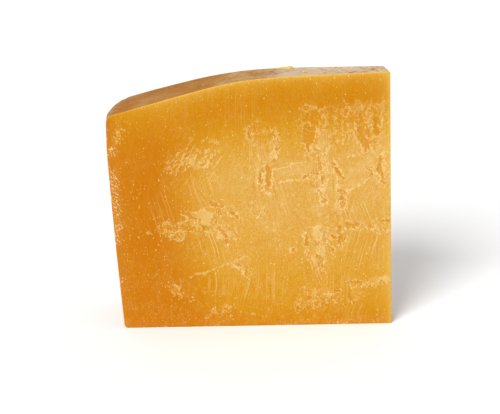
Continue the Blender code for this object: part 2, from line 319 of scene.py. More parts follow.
FRONT_FLAKES = [
    (125.8, 96.5, 122.5, 100.2, 0.35, 0.3, 0.3), (124.2, 95.8, 121.4, 100, 0.4, 0.3, 0.3),
    (122.6, 94.2, 121, 97, 0.5, 0.3, 0.3), (119.6, 93.9, 117, 99, 0.4, 0.4, 0.3),
    (117, 98.5, 113.4, 108, 1.1, 0.5, 0.35), (110.3, 99, 106, 107.5, 1.2, 0.6, 0.3),
    (105, 94, 100.8, 99.8, 0.5, 0.4, 0.3), (100.8, 99.5, 97, 107.5, 0.9, 0.4, 0.35),
    (103, 104.5, 101, 108, 0.5, 0.4, 0.3), (119.5, 103, 118, 106, 0.4, 0.3, 0.3),
    (122.8, 117, 122.2, 115.8, 0.4, 0.3, 0.3), (109.9, 118.2, 108.6, 116, 0.5, 0.4, 0.3),
    (102, 113.6, 99.8, 113.2, 0.45, 0.3, 0.3), (96.8, 113.6, 96, 111.4, 0.45, 0.3, 0.3),
    (124.5, 99.5, 123.8, 100.5, 0.6, 0.5, 0.3), (105.5, 96.3, 104.2, 96.9, 0.6, 0.5, 0.3),
    (76.3, 123.5, 76.1, 120, 0.8, 0.6, 0.3), (80, 119, 78.5, 112.5, 0.4, 0.4, 0.25),
    (77.3, 112, 74.9, 106.8, 0.5, 0.5, 0.3), (70.3, 118.2, 69.9, 116.5, 0.4, 0.4, 0.3),
    (61.5, 116.2, 62.8, 113.8, 0.6, 0.6, 0.3), (64, 113, 62.8, 109.5, 0.7, 0.5, 0.3),
    (63.8, 104, 63.5, 101.5, 0.9, 0.8, 0.3), (66.2, 108, 65.2, 101, 0.5, 0.6, 0.3),
    (65.3, 95, 65.2, 80, 0.4, 0.4, 0.25), (70, 95, 70.6, 81, 0.4, 0.4, 0.2),
    (73.5, 104, 73.2, 90, 0.35, 0.35, 0.15), (50.5, 130, 49.5, 129.6, 0.7, 0.6, 0.3),
    (47.5, 131, 43.5, 130.6, 0.9, 0.9, 0.35), (42.3, 130.4, 41, 129.6, 0.9, 0.7, 0.3),
    (38.5, 130.2, 37, 129.9, 1.4, 1.1, 0.4), (34.6, 131.8, 34.2, 130.8, 0.8, 0.6, 0.3),
    (35.8, 124.5, 35.3, 120.5, 1.2, 1.5, 0.35), (48.6, 123, 49, 113, 0.35, 0.4, 0.2),
    (40.9, 118.3, 35.5, 113.8, 0.6, 0.6, 0.3), (32.6, 115.4, 33.9, 105.5, 0.45, 0.45, 0.3),
    (47, 107, 45.5, 102, 0.5, 0.5, 0.25), (43.5, 108, 42.5, 103.5, 0.8, 0.8, 0.25),
    (14.6, 131, 14.9, 129, 1.3, 1.0, 0.4), (14.8, 122.6, 12.2, 121.4, 0.45, 0.4, 0.3),
    (12.2, 127.2, 11.8, 124.6, 0.4, 0.4, 0.3), (14.2, 118.6, 12.9, 116.2, 0.4, 0.35, 0.3),
    (9.4, 119.8, 9.9, 115.4, 0.35, 0.35, 0.3), (44.6, 122.4, 43.6, 119.4, 0.4, 0.35, 0.3),
    (8.6, 131.8, 7.5, 132.6, 0.5, 0.5, 0.3), (7.5, 132.6, 6.2, 131.5, 0.5, 0.5, 0.3),
    (6.2, 131.5, 7.2, 130.2, 0.4, 0.4, 0.3), (3.6, 131.3, 3.3, 129.3, 1.6, 1.3, 0.35),
    (4.7, 127.6, 4.5, 120, 0.5, 0.45, 0.3), (18.9, 119.5, 19.5, 116, 0.5, 0.5, 0.3),
    (10.5, 125, 11.5, 122.5, 0.8, 0.6, 0.3), (14, 113.8, 11.8, 112.8, 0.6, 0.6, 0.3),
    (16, 107.5, 13.5, 104, 0.7, 0.5, 0.3), (9.8, 106, 8.5, 103.5, 0.6, 0.5, 0.3),
    (12.5, 120, 11.3, 117.5, 0.6, 0.5, 0.3), (18.5, 111, 17.3, 107.5, 0.6, 0.6, 0.3),
    (16.8, 126.5, 17.2, 121, 0.4, 0.35, 0.25), (22.4, 131.5, 22.2, 130, 1.0, 0.8, 0.35),
    (25, 132.8, 24.3, 131.6, 0.6, 0.5, 0.3), (22.6, 128.5, 24, 124, 0.4, 0.4, 0.3),
    (27.5, 116, 26, 112.5, 0.5, 0.4, 0.2), (29, 113, 25.5, 111.5, 0.4, 0.4, 0.2),
    (22.6, 101, 21.2, 101.9, 0.4, 0.4, 0.25), (21.2, 101.9, 19.4, 101.2, 0.4, 0.4, 0.25),
    (22.6, 101, 21, 99.8, 0.4, 0.4, 0.25), (21, 99.8, 19.3, 100.6, 0.4, 0.4, 0.25),
    (3.3, 103.5, 2.8, 101, 0.9, 0.7, 0.3), (1.5, 102.5, 0.8, 101.5, 0.5, 0.4, 0.25),
    (6.8, 97, 6.5, 93, 0.4, 0.4, 0.2), (2.4, 91, 2.2, 86.5, 0.5, 0.5, 0.3),
    (11.3, 91.5, 11.2, 90, 0.4, 0.4, 0.2), (40, 108, 37.5, 99.5, 0.5, 0.5, 0.25),
    (35.3, 107, 35.5, 99, 0.4, 0.4, 0.25), (34, 103, 34.5, 90, 0.4, 0.4, 0.25),
    (36.2, 88, 36.6, 77, 0.6, 0.5, 0.3), (31.5, 99.5, 28.5, 95.5, 0.8, 0.6, 0.3),
    (30.5, 92.5, 27, 87, 0.5, 0.5, 0.3), (38.5, 90.5, 41.5, 86.8, 0.5, 0.5, 0.3),
    (29.5, 88, 27.5, 83.5, 0.6, 0.5, 0.3), (27, 81.5, 23.2, 77, 0.5, 0.5, 0.3),
    (23.2, 77, 23.5, 71, 0.4, 0.4, 0.25), (28, 79, 28.3, 73, 0.4, 0.4, 0.2),
    (28, 71.5, 24.5, 70.5, 0.4, 0.4, 0.2), (39, 76.5, 37.8, 73, 1.0, 0.9, 0.3),
    (44, 91, 41.8, 87.5, 0.4, 0.4, 0.25), (110, 69.5, 103.8, 69, 2.3, 3.3, 0.5),
    (103.8, 69, 103, 64, 3.3, 2.6, 0.5), (112, 64.5, 108.5, 62, 1.6, 1.5, 0.4),
    (98.7, 64.6, 97.9, 65.4, 0.9, 0.7, 0.4), (90.5, 69.3, 88, 68.3, 1.0, 0.8, 0.35),
    (86.8, 72, 86, 70.5, 0.5, 0.4, 0.3), (104.5, 75.8, 99.5, 76.6, 0.45, 0.4, 0.25),
    (96.5, 77.3, 93.5, 77.8, 0.4, 0.4, 0.2), (96, 56, 94, 54.3, 1.6, 1.3, 0.35),
    (93.5, 58, 90, 56.5, 0.7, 0.6, 0.3), (90, 54.5, 88.5, 52, 0.6, 0.5, 0.3),
    (104.3, 57.5, 101.8, 57.3, 0.9, 0.7, 0.3), (99, 61.5, 98, 58.5, 0.5, 0.5, 0.3),
    (92.9, 49.5, 92.4, 47, 0.6, 0.5, 0.25), (86.5, 54, 85.7, 51.5, 0.4, 0.4, 0.2),
    (130.8, 62.2, 129.8, 63.5, 1.0, 0.6, 0.3), (137, 58.8, 135.5, 57.8, 1.0, 0.8, 0.35),
    (118.6, 63.5, 117.5, 61, 1.0, 0.7, 0.35), (119.1, 58.2, 118.8, 57.4, 0.6, 0.5, 0.4),
    (124.5, 57.5, 123.5, 55, 0.8, 0.9, 0.3), (120.3, 53.8, 117, 53.4, 0.9, 0.5, 0.3),
    (122.3, 61, 122, 59.3, 0.5, 0.4, 0.3), (127.5, 59.8, 126.5, 58.6, 0.5, 0.5, 0.3),
    (42, 59.5, 38.5, 60, 1.0, 1.2, 0.35), (40.5, 57, 37, 54, 1.9, 1.6, 0.4),
    (35, 60.5, 33, 60, 1.0, 0.7, 0.3), (33.5, 57.5, 32.8, 56.3, 0.6, 0.5, 0.3),
    (32.8, 52.5, 29.8, 51.8, 0.4, 0.4, 0.3), (29.3, 56, 29.2, 54, 0.4, 0.4, 0.25),
    (48.8, 56, 48.6, 49.5, 0.4, 0.4, 0.25), (44.8, 56, 44.5, 49.5, 0.4, 0.4, 0.25),
    (40, 50, 39.5, 44, 0.6, 0.6, 0.3), (38, 47.5, 36.8, 44.5, 1.2, 1.0, 0.35),
    (43.5, 42, 41.8, 39.5, 0.5, 0.5, 0.3), (34.9, 38, 35.2, 35, 0.4, 0.4, 0.25),
    (25.5, 58.5, 24.3, 57, 0.6, 0.5, 0.3), (19.8, 59.8, 18.8, 57.5, 0.5, 0.5, 0.3),
    (12.8, 60, 12.3, 58, 0.6, 0.5, 0.3), (9.5, 57.8, 8, 57.5, 0.6, 0.5, 0.3),
    (7, 60.5, 6.5, 58.5, 0.5, 0.5, 0.3), (5, 56.5, 4.3, 55, 0.4, 0.4, 0.25),
    (1.3, 59.3, 0.3, 58.5, 0.5, 0.4, 0.3), (55.4, 49.5, 55.1, 47.8, 0.5, 0.4, 0.3),
    (23.8, 24.8, 22.8, 26.4, 0.4, 0.4, 0.3), (22.8, 26.4, 20.8, 25.6, 0.4, 0.4, 0.3),
    (20.8, 25.6, 20.4, 23.3, 0.4, 0.4, 0.3), (14.5, 22.5, 13.5, 21, 0.6, 0.5, 0.3),
    (11.5, 26.5, 10.5, 22.5, 0.4, 0.4, 0.25), (6.3, 23.5, 4.2, 26, 0.8, 0.8, 0.35),
    (3.5, 27.5, -0.8, 27.5, 0.7, 0.8, 0.25), (41.2, 22, 41, 15, 0.4, 0.45, 0.3),
    (43.5, 18.2, 42, 16.5, 0.5, 0.5, 0.3), (35, 18.5, 31, 19.5, 0.9, 0.8, 0.25),
    (22.8, 19, 22.5, 13.5, 0.4, 0.4, 0.3), (20.3, 13.5, 19.5, 12.6, 1.0, 0.8, 0.4),
    (25.5, 11.8, 24, 11, 0.7, 0.5, 0.3), (47.2, 23.5, 48.5, 18, 0.4, 0.4, 0.25),
    (46.8, 14.5, 44.5, 12.8, 0.4, 0.4, 0.25), (38.3, 13.8, 38, 10.8, 0.4, 0.4, 0.25),
    (5.2, 9.3, 3.8, 6.6, 0.45, 0.4, 0.35), (77.2, 6.9, 76.3, 6.5, 0.9, 0.6, 0.35),
    (50.2, 11.5, 49.5, 9.5, 0.5, 0.6, 0.3), (121.5, 25.5, 119.3, 24, 1.1, 0.8, 0.35),
    (117.5, 22, 116, 20.5, 0.5, 0.4, 0.3), (124, 21.3, 122.8, 20.9, 0.6, 0.5, 0.3),
    (119.5, 20, 119, 18.5, 0.8, 0.6, 0.3), (88.4, 7.4, 87.6, 7, 0.6, 0.5, 0.35),
    (90.6, 6, 89.8, 5.6, 0.6, 0.5, 0.35), (91.5, 12, 88, 14, 0.5, 0.4, 0.3),
    (99.8, 9.5, 98.3, 7, 1.2, 0.8, 0.3), (106, 5.5, 104, 4.5, 0.8, 0.5, 0.25),
    (106, 21.8, 104.5, 21.5, 0.5, 0.4, 0.2), (101, 22.2, 99, 22.4, 0.4, 0.4, 0.2),
    (87, 41.5, 85.3, 38.5, 0.5, 0.5, 0.25), (82.8, 34.5, 82.3, 31, 0.4, 0.4, 0.2),
    (151, 122.5, 149.5, 121.5, 0.5, 0.4, 0.2), (149.5, 119.5, 148, 118, 0.6, 0.5, 0.25),
    (151.5, 116, 150.8, 114.5, 0.5, 0.5, 0.25), (148.5, 124.5, 147.5, 124, 0.4, 0.4, 0.2),
]
FRONT_CRACKS = [
    [(114.2, 31), (110.3, 33), (105.9, 33.1), (100.4, 35.4), (94.8, 37.1), (88.7, 39.9), (80.4, 43.2)],
    [(64.3, 94.6), (58, 96.4), (53.7, 97.9), (47.2, 98.8)],
    [(62, 87.5), (56, 88.2), (51, 88.5)],
    [(23.5, 81), (16, 85.2), (9.6, 89)],
]
# Milky places, where the blade smeared the paste. The last value is how milky they are.
FRONT_SMEARS = [
    (6, 99, 20, 88.5, 6, 5, 0.5), (4.5, 113, 4.5, 107, 3, 3, 0.5), (37, 115.5, 37, 107, 3.2, 3, 0.7),
    (47, 95, 60, 92.5, 4, 3, 0.45), (67, 111, 66, 99, 1.5, 1.5, 0.5), (73, 110, 73, 98, 3, 3, 0.2),
    (36.5, 98, 37, 76, 3.5, 4.5, 0.4), (40, 80, 39.5, 71, 4, 4.5, 0.5), (26.5, 82, 26.5, 71, 3.4, 3.6, 0.45),
    (82, 41, 84, 37, 3, 3, 0.4), (109, 69.5, 103.8, 69, 2.3, 3.6, 0.6),
    (103.8, 69, 102.8, 64, 3.6, 2.6, 0.6), (97, 60, 94, 56, 3.5, 3, 0.45),
    (40, 58, 36.5, 53, 4, 3.5, 0.55), (38, 20, 30, 20, 2.5, 2, 0.35), (9, 26, 0, 28, 2, 2, 0.5),
    (110, 100, 105, 100, 4, 4, 0.3), (68, 64, 60, 72, 7, 6, 0.25), (17, 126, 16, 108, 8, 6, 0.3),
    (125, 62, 118, 58, 3, 3, 0.25), (41, 45, 39, 38, 3, 2.5, 0.35), (95, 22, 92, 21, 3, 2, 0.3),
]
# Where the paste crumbled instead of being sliced. The last value is how much it did.
FRONT_CRUMBLED = [
    (46, 126, 4, 125, 4.5, 5.5, 0.7), (42, 118, 12, 112, 7, 9, 0.7), (37, 105, 36, 76, 5, 7, 0.8),
    (72, 116, 68, 84, 3, 4.5, 0.5), (3, 102, 3, 88, 4, 4, 0.7), (122, 98, 100, 103, 5.5, 5, 0.6),
    (119, 105, 98, 110, 3.5, 3.5, 0.4),
    (124, 61, 90, 58, 5, 6.5, 0.55), (103, 70, 88, 71, 5, 4.5, 0.5), (40, 58, 38, 38, 7.5, 6, 0.75),
    (26, 60.5, -1, 60, 2.6, 2.6, 0.75), (46, 17, 18, 17, 6, 5.5, 0.75), (22, 25, -1, 27, 3, 2.6, 0.6),
    (123, 24, 115, 22, 3.5, 3.5, 0.5), (105, 6, 86, 9, 3, 3.5, 0.4), (87, 39, 80, 33, 3.5, 3, 0.5),
    (64, 95, 48, 98, 2.5, 2.5, 0.5), (76, 72, 52, 62, 9, 11, 0.3), (31, 70, 25, 80, 5, 5, 0.5),
    (140, 10, 60, 4, 7, 7, 0.3), (60, 4, 4, 3, 5, 4, 0.4), (135, 30, 120, 50, 7, 6, 0.2),
    (74, 118, 70, 82, 7, 7, 0.45), (38, 110, 36, 64, 10, 11, 0.45), (16, 108, 12, 88, 9, 9, 0.4),
    (60, 96, 44, 90, 5, 5, 0.3), (112, 50, 92, 48, 8, 7, 0.25), (118, 88, 100, 90, 8, 6, 0.25),
]
# Where the blade left drag lines that stand upright, lean to the left and lean to the right. Each
# place has its middle, its half sizes and how strongly the lines show.
FRONT_DRAGS = {
    "drag_upright": [
        (95, 130, 24, 16, 0.4), (96, 26, 11, 8, 0.8), (36.5, 111, 4.5, 8, 1.4), (74, 100, 9, 24, 1.1),
        (36, 88, 7, 14, 0.9), (68, 25, 10, 14, 0.6), (5, 60, 6, 30, 0.4), (30, 20, 20, 14, 0.5),
    ],
    "drag_left": [
        (128, 72, 10, 18, 0.6), (99, 50, 14, 14, 1.2), (105, 88, 11, 14, 0.8), (20, 69, 16, 7, 1.1),
        (42, 32, 7, 11, 1.2), (60, 66, 12, 12, 0.6), (128, 30, 10, 18, 0.5), (66, 82, 12, 10, 0.6),
    ],
    "drag_right": [
        (14, 46, 14, 14, 1.3), (7, 79, 9, 9, 1.0), (118, 105, 10, 8, 0.5), (22, 8, 22, 6, 0.5),
        (24, 72, 6, 9, 0.8), (84, 24, 8, 10, 0.7),
    ],
}
FRONT_SEED = 3
CRACK_WIDTH = 0.25
CRACK_LIP = 0.15
FAR_OUTSIDE = -4
WITH_SHORES = ("hollow", "flake", "crack", "smear")


def polyline(points, width):
    return [(*a, *b, width, width, 0) for a, b in zip(points, points[1:])]


def carve(hollows, flakes, smears, crumbled, cracks, drags, seed):
    """The fields of one cut: how deep it is and how far each place is inside what tore or smeared."""
    at_across, at_up = ragged(seed)
    hollow, depth = inside_strokes(hollows, at_across, at_up)
    flake, height = inside_strokes(flakes, at_across, at_up)
    lines = [stroke for points in cracks for stroke in polyline(points, CRACK_WIDTH)]
    crack, _ = inside_strokes(lines, 0.6 * at_across + 0.4 * across, 0.6 * at_up + 0.4 * up)
    smear, milk = inside_strokes(smears, at_across, at_up)
    loose, share = inside_strokes(crumbled, at_across, at_up)
    loose = loose + 2.6 * rough(across, up, 9, seed + 50, 3)
    # Hollows slope in over 2 mm, flakes and the lips of cracks stand up, and round them the paste is
    # terraced and shredded. Slow waves of the blade run over the whole cut.
    sink = depth * smooth_step(-0.6, 1.2, hollow) * (1 - 0.4 * rough(across, up, 5.5, seed + 20, 2))
    rise = height * smooth_step(-0.3, 0.4, flake) + CRACK_LIP * smooth_step(-0.4, 0.2, crack)
    near = np.maximum(0.6 * smooth_step(-3.0, -0.3, np.maximum(hollow, flake)), smooth_step(-2, 3, loose))
    terraces = 0.14 * smooth_step(-0.1, 0.3, rough(across, up, 4.6, seed + 26, 3))
    shreds = 0.11 * rough(across, up, 1.5, seed + 32, 2)
    wave = 0.25 * rough(across, up, 38, seed + 38, 2)
    fields = {
        "depth": HOLLOW_DEPTH * sink - rise + near * (terraces + shreds) + wave,
        "hollow": np.clip(hollow, FAR_OUTSIDE, 0.8),
        "flake": np.clip(flake, FAR_OUTSIDE, 3),
        "crack": np.clip(crack, FAR_OUTSIDE, 3),
        "smear": np.clip(smear, FAR_OUTSIDE, 4),
        "milk": milk * smooth_step(-1.5, 1.5, smear),
        "crumbled": share * smooth_step(-3.5, 3.0, loose),
    }
    for name, places in drags.items():
        shown = [
            strength * smooth_step(1.1, 0.5, np.hypot((across - a) / half_a, (up - u) / half_u))
            for a, u, half_a, half_u, strength in places
        ]
        fields[name] = np.maximum.reduce(shown)
    return fields


def read(field, at_across, at_up):
    """A field's values at points of the cut."""
    i = np.clip((at_across - ACROSS_LOW) / GRID, 0, field.shape[0] - 1.01)
    j = np.clip((at_up - UP_LOW) / GRID, 0, field.shape[1] - 1.01)
    low_i = i.astype(int)
    low_j = j.astype(int)
    a = i - low_i
    b = j - low_j
    low = field[low_i, low_j] * (1 - a) + field[low_i + 1, low_j] * a
    high = field[low_i, low_j + 1] * (1 - a) + field[low_i + 1, low_j + 1] * a
    return low * (1 - b) + high * b


def loose_strokes(draw, middles, count, low, high, widths, spread):
    """Short strokes round the middles of torn patches, for a cut whose own marks can't be seen."""
    made = []
    for middle_a, middle_u, lean in middles:
        for _ in range(count):
            start_a = middle_a + draw.normal(0, spread)
            start_u = middle_u + draw.normal(0, spread * 1.3)
            length = draw.uniform(1.0, 7.0)
            turn = math.radians(lean + draw.normal(0, 25))
            end_a = start_a + length * math.sin(turn)
            end_u = start_u + length * math.cos(turn)
            width = draw.uniform(*widths)
            made.append((start_a, start_u, end_a, end_u, width, width * 0.7, draw.uniform(low, high)))
    return made


BACK_SEED = 200
BACK_STROKES_SEED = 11
BACK_PATCHES = 17
draw = np.random.default_rng(BACK_STROKES_SEED)
back_middles = [
    (draw.uniform(8, 135), draw.uniform(14, 118), draw.uniform(-40, 40)) for _ in range(BACK_PATCHES)
]
back_hollows = loose_strokes(draw, back_middles, 6, 0.6, 1.2, (0.7, 2.6), 4.5)
back_flakes = loose_strokes(draw, back_middles, 10, 0.2, 0.4, (0.4, 1.3), 5.5)
back_smears = loose_strokes(draw, back_middles, 2, 0.25, 0.5, (2.5, 4.5), 5.0)
back_crumbled = loose_strokes(draw, back_middles, 2, 0.5, 0.9, (3.0, 6.5), 3.5)
back_drags = {
    name: [(draw.uniform(10, 140), draw.uniform(15, 125), 16, 18, draw.uniform(0.6, 1.2)) for _ in range(4)]
    for name in FRONT_DRAGS
}
back_cracks = [[(110, 84), (98, 87), (84, 86), (76, 90)], [(52, 40), (41, 44), (30, 43)]]
cuts = {
    "front": carve(
        FRONT_HOLLOWS, FRONT_FLAKES, FRONT_SMEARS, FRONT_CRUMBLED, FRONT_CRACKS, FRONT_DRAGS, FRONT_SEED
    ),
    "back": carve(
        back_hollows, back_flakes, back_smears, back_crumbled, back_cracks, back_drags, BACK_SEED
    ),
}

# Crumbs cling along the heel edge of a cut, where the knife came through the rind, and along its
# base, most of them near the tip.
CRUMB_SEED = 400
CRUMB_PATCH_SEED = 410
CRUMB_HEIGHT = 0.3
from_heel = (heel_radius(place[:, 2]) - radius) * 1000
from_top = (top_height(radius) - place[:, 2]) * 1000
from_tip = across_mm + TIP_LEAN * (WHEEL_THICKNESS * 1000 - up_mm)
edge_gap = np.minimum.reduce([from_heel, from_tip, from_top, up_mm])
crumb_patches = 0.85 + 0.8 * rough(across_mm, up_mm, 9, CRUMB_PATCH_SEED, 2)
heel_band = smooth_step(9, 0, from_heel) * smooth_step(1, 9, from_top)
base_band = smooth_step(6, 0.5, up_mm) * (0.6 + 0.4 * smooth_step(44, 22, across_mm))
crumbs = np.clip(crumb_patches * np.maximum(heel_band, base_band), 0, 1)
crumb_relief = CRUMB_HEIGHT * smooth_step(0.0, 0.4, rough(across_mm, up_mm, 1.5, CRUMB_SEED, 2)) * crumbs

on_front = smooth_step(CUT_EDGE, 0, block_y)
on_back = smooth_step(HEEL_DEPTH - CUT_EDGE, HEEL_DEPTH, block_y)
on_tip = smooth_step(FACE_LENGTH - CUT_EDGE, FACE_LENGTH, block_x) * (1 - on_front) * (1 - on_back)

# Each point takes the relief of the cut that it is on, which fades out at the cut's edges.
edge_fade = 0.12 + 0.88 * smooth_step(0, 2.2, edge_gap)
values = {}
for name in cuts["front"]:
    front_value = read(cuts["front"][name], across_mm, up_mm)
    back_value = read(cuts["back"][name], across_mm, up_mm)
    elsewhere = (1 - on_front - on_back) * (FAR_OUTSIDE if name in WITH_SHORES else 0)
    values[name] = front_value * on_front + back_value * on_back + elsewhere
values["depth"] = (values["depth"] - crumb_relief * (on_front + on_back)) * edge_fade
values["crumbs"] = crumbs * (on_front + on_back)

front_in = Vector((0, 1, 0))
back_in = Vector((-math.sin(SECTOR_ANGLE), -math.cos(SECTOR_ANGLE), 0))
sink = values["depth"][:, None] / 1000
inward = on_front[:, None] * np.array(front_in) + on_back[:, None] * np.array(back_in)
place = place + inward * sink

# The tip cut is smooth, with slow waves, and the rind is uneven, with shallow dimples from the
# boards that the wheel ripened on. Both are kept flat at their rims. Behind the front cut the worn
# shoulder stands a little proud, and the slope of the top is a little higher at the back.
LIP_HEIGHT = 1.54
LIP_REACH = 12
CROWN_HEIGHT = 0.6
SIDE_BLEND = 0.0006
TIP_SEED = 500
TOP_SEED, TOP_FINE_SEED = 520, 530
HEEL_SEED, HEEL_FINE_SEED = 540, 550
back_mm = block_y * 1000
side_gap = np.minimum(block_y, HEEL_DEPTH - block_y) * 1000
back_share = block_y / HEEL_DEPTH
from_shoulder = np.hypot(from_heel, from_top)
lip = np.sin(np.pi * np.minimum(back_share, 0.42) ** 0.8) * (1 - 0.85 * smooth_step(0.78, 1, back_share))
lip = LIP_HEIGHT * lip * np.exp(-from_shoulder / LIP_REACH) * (1 - on_front)
place[:, 0] -= lip / 1000
place[:, 2] += lip / 1000
tip_fade = on_tip * smooth_step(0.4, 4, side_gap) * smooth_step(0, 4, np.minimum(up_mm, from_top))
place[:, 0] -= tip_fade * (0.3 + 0.25 * rough(back_mm, up_mm, 9, TIP_SEED, 3)) / 1000
rind_fade = smooth_step(0.4, 3.5, side_gap) * smooth_step(0, 4, across_mm + 3.2)
rind_fade = rind_fade * (1 - on_front) * (1 - on_back)
on_top = smooth_step(WHEEL_THICKNESS - SIDE_BLEND, WHEEL_THICKNESS, block_z)
on_heel = smooth_step(SIDE_BLEND, 0, block_x) * (1 - on_top) * smooth_step(0, 6, up_mm)
corner_x = np.clip(1 - block_x / shoulder, 0, 1)
corner_z = np.clip(1 - (WHEEL_THICKNESS - block_z) / shoulder, 0, 1)
steep = np.maximum(np.hypot(corner_x, corner_z), 0.1)
top_share = corner_z**2 / steep**2
top_bumps = 0.45 * rough(across_mm, side_gap + 9, 16, TOP_SEED, 2)
top_bumps = top_bumps + 0.22 * rough(across_mm, side_gap, 3.2, TOP_FINE_SEED, 3)
heel_bumps = 0.45 * rough(up_mm, back_mm, 17, HEEL_SEED, 2)
heel_bumps = heel_bumps + 0.2 * rough(up_mm, back_mm, 3, HEEL_FINE_SEED, 3)
crown = CROWN_HEIGHT * back_share * smooth_step(80, 115, across_mm) * smooth_step(158, 135, across_mm)
dent = rind_fade * (0.5 + top_share * top_bumps + (1 - top_share) * heel_bumps) * (on_top + on_heel) / 1000
place[:, 2] += on_top * crown / 1000 - dent * corner_z / steep
place[:, 0] += dent * corner_x / steep
mesh.vertices.foreach_set("co", place.astype(np.float32).ravel())

# The paste is dry and deep orange beside the rind, and paler and moister at the wheel's heart. What
# the materials need to know of each place is kept with the mesh: the cuts' fields, how near the heart
# and the heel it is, the painted edge light, and where the rind is worn, tanned or dusty.
age = smooth_step(10, 56, from_top) * (1 - 0.93 * np.exp(-up_mm / 36)) * smooth_step(0, 77, from_heel)
age = np.clip(age + 0.42 * np.exp(-from_top / 9), 0, 1)
heel_tone = smooth_step(56 + 26 * np.exp(-up_mm / 24), 20, from_heel) * smooth_step(6, 36, from_top)
heel_tone = heel_tone * (1 - 0.45 * np.exp(-from_heel / 9))
# Painted light: a bright band along the top rim, where the edge catches light from above, and a glow along
# the tip edge, where light shows through the thin paste. It is weaker on the back cut.
painted_rim_highlight = 0.7 * np.exp(-from_top / 2.6) + 0.7 * np.exp(-from_top / 0.5)
glow = np.exp(-np.maximum(0, from_tip) / 3) + painted_rim_highlight * smooth_step(0, 40, from_heel)
glow = glow * (1 - 0.4 * on_back)
values.update({"age": age, "heel_tone": heel_tone, "glow": np.clip(glow, 0, 1.5)})
values["wear"] = smooth_step(95, 25, across_mm)
values["tan"] = smooth_step(82, 125, across_mm)
scuffs = 0.4 * np.exp(-(((across_mm - 89) / 9) ** 2)) + 0.45 * np.exp(-(((across_mm - 62) / 13) ** 2))
values["bloom"] = np.maximum(np.exp(-from_shoulder / 7), scuffs)
values["bark"] = np.exp(-np.maximum(0, from_heel) / 2.8) * smooth_step(20, 6, from_top) * on_front
values["oblique"] = smooth_step(1.1, 0.9, np.hypot((across_mm - 110) / 22, (up_mm - 101) / 16))
for name in sorted(set(values) - {"depth"}):
    layer = mesh.attributes.new(name, "FLOAT", "POINT")
    layer.data.foreach_set("value", values[name].astype(np.float32))

face_x, face_y, face_z = np.array([block[list(p.vertices)].mean(0) for p in mesh.polygons]).T
rind_faces = (face_z > WHEEL_THICKNESS - SAME_PLACE) | (face_z < SAME_PLACE) | (face_x < SAME_PLACE)
mesh.polygons.foreach_set("material_index", rind_faces.astype(np.int32))

# The back and the sides need fewer faces than the front cut and the shoulder, which are seen from
# close by.
FAR_SIDE_FACES = 0.14
SHOULDER_DOWN = 0.016
SHOULDER_ALONG = 0.020
near_shoulder = (face_z > WHEEL_THICKNESS - SHOULDER_DOWN) & (face_x < SHOULDER_ALONG)
seen_faces = (face_y < CUT_EDGE) | near_shoulder
mesh.polygons.foreach_set("select", ~seen_faces)
mesh.edges.foreach_set("select", np.zeros(len(mesh.edges), bool))
mesh.vertices.foreach_set("select", np.zeros(len(mesh.vertices), bool))
bpy.ops.object.mode_set(mode="EDIT")
bpy.ops.mesh.select_mode(type="FACE")
bpy.ops.mesh.decimate(ratio=FAR_SIDE_FACES)
bpy.ops.mesh.select_all(action="SELECT")
bpy.ops.mesh.normals_make_consistent(inside=False)
bpy.ops.object.mode_set(mode="OBJECT")
bpy.ops.object.shade_smooth()


class Socket:
    """One output of a node, on which Python's operators add Math nodes."""

    def __init__(self, tree, output):
        self.tree = tree
        self.output = output

    def beside(self, output):
        """Another output of the same node."""
        return Socket(self.tree, self.output.node.outputs[output])

    def math(self, operation, *parts):
        return node(self.tree, "ShaderNodeMath", {"operation": operation}, dict(enumerate(parts)))

    def __add__(self, other):
        return self.math("ADD", self, other)

    def __sub__(self, other):
        return self.math("SUBTRACT", self, other)

    def __mul__(self, other):
        return self.math("MULTIPLY", self, other)

    def __rsub__(self, other):
        return self.math("SUBTRACT", other, self)

    def __abs__(self):
        return self.math("ABSOLUTE", self)

    __radd__ = __add__
    __rmul__ = __mul__


def fill(tree, made, inputs):
    """Links a node's sockets to other nodes' outputs, or gives them values."""
    for name, value in inputs.items():
        if isinstance(value, Socket):
            tree.links.new(value.output, made.inputs[name])
        else:
            made.inputs[name].default_value = value


def node(tree, kind, settings=None, inputs=None, output=0):
    """Adds a node, sets it up, links or fills its inputs, and gives one of its outputs."""
    made = tree.nodes.new(kind)
    for name, value in (settings or {}).items():
        if name == "stops":
            ramp = made.color_ramp
            while len(ramp.elements) < len(value):
                ramp.elements.new(0.5)
            for element, (position, colour) in zip(ramp.elements, value):
                element.position = position
                element.color = colour
        else:
            setattr(made, name, value)
    fill(tree, made, inputs or {})
    return Socket(tree, made.outputs[output])


def paint(red, green, blue):
    """A colour as a screen shows it, from 0 to 255, in the linear values that a shader takes."""
    linear = [c / 3294.6 if c <= 10.3 else ((c / 255 + 0.055) / 1.055) ** 2.4 for c in (red, green, blue)]
    return (*linear, 1.0)


def new_material(name):
    material = bpy.data.materials.new(name)
    material.use_nodes = True
    return material, material.node_tree, material.node_tree.nodes["Principled BSDF"]


def attribute(tree, name):
    return node(tree, "ShaderNodeAttribute", {"attribute_name": name, "attribute_type": "GEOMETRY"}, output=2)


def most(first, *others):
    """The largest of several values."""
    for other in others:
        first = first.math("MAXIMUM", first, other)
    return first


def blend(factor, first, second):
    """The first colour with the second one over it, as far as the factor says."""
    return node(factor.tree, "ShaderNodeMix", {"data_type": "RGBA"}, {0: factor, 6: first, 7: second}, 2)


def between(value, low, high):
    """0 at low and beyond it, 1 at high and beyond it, and smooth between them."""
    inputs = {"Value": value, "From Min": low, "From Max": high}
    return node(value.tree, "ShaderNodeMapRange", {"interpolation_type": "SMOOTHSTEP"}, inputs)


def noise(place, scale, detail=3.0, roughness=0.55, output=0):
    inputs = {"Vector": place, "Scale": scale, "Detail": detail, "Roughness": roughness}
    return node(place.tree, "ShaderNodeTexNoise", None, inputs, output)


